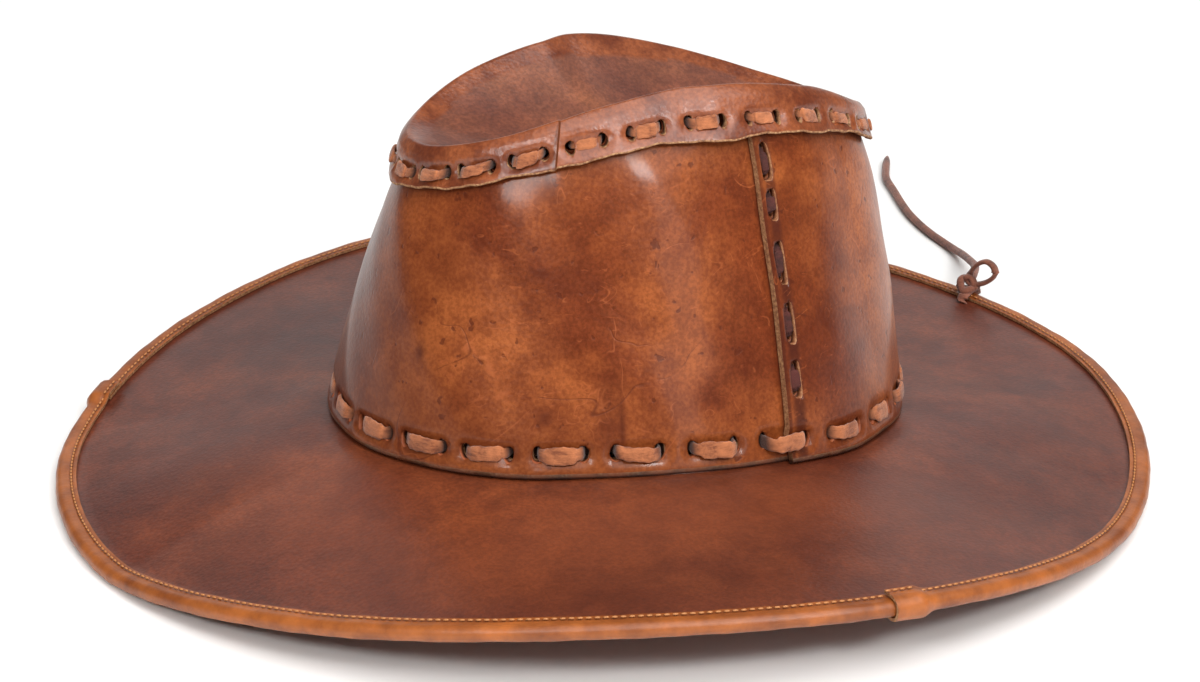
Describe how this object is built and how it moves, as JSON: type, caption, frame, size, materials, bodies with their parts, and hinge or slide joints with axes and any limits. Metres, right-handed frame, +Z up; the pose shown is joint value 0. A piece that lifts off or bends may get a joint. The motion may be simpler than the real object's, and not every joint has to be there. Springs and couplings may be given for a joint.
{
  "type": "leather hat",
  "caption": "Wide brimmed leather hat with a dented crown, a saddle-shaped brim, lace stitching round the crown and a loose thong tied through the brim.",
  "frame": {"origin": "on the surface the brim rests on, under the middle of the brim's outline", "axes": "+Z up through the crown, +X to the wearer's left, -Y to the front, so the brim and the dent are longest along Y"},
  "size_m": [0.3972, 0.4503, 0.142],
  "materials": {
    "brim_leather": "worn satin leather, purplish brown",
    "binding_leather": "thin tan brown leather strip",
    "crown_leather": "waxed, mottled warm brown leather",
    "top_leather": "soft satin purplish brown leather",
    "suede_lace": "rough tan orange suede",
    "dark_lace": "dark maroon brown lace",
    "thong": "reddish brown suede thong"
  },
  "bodies": {
    "root": {"brim": "brim_leather", "binding_back": "binding_leather", "binding_front": "binding_leather", "crown_front": "crown_leather", "crown_back": "crown_leather", "crown_top": "top_leather", "base_lace": "suede_lace", "rim_lace": "suede_lace", "left_seam_lace": "dark_lace", "right_seam_lace": "dark_lace", "brim_tie": "thong", "tie_tail": "thong"}
  },
  "joints": []
}
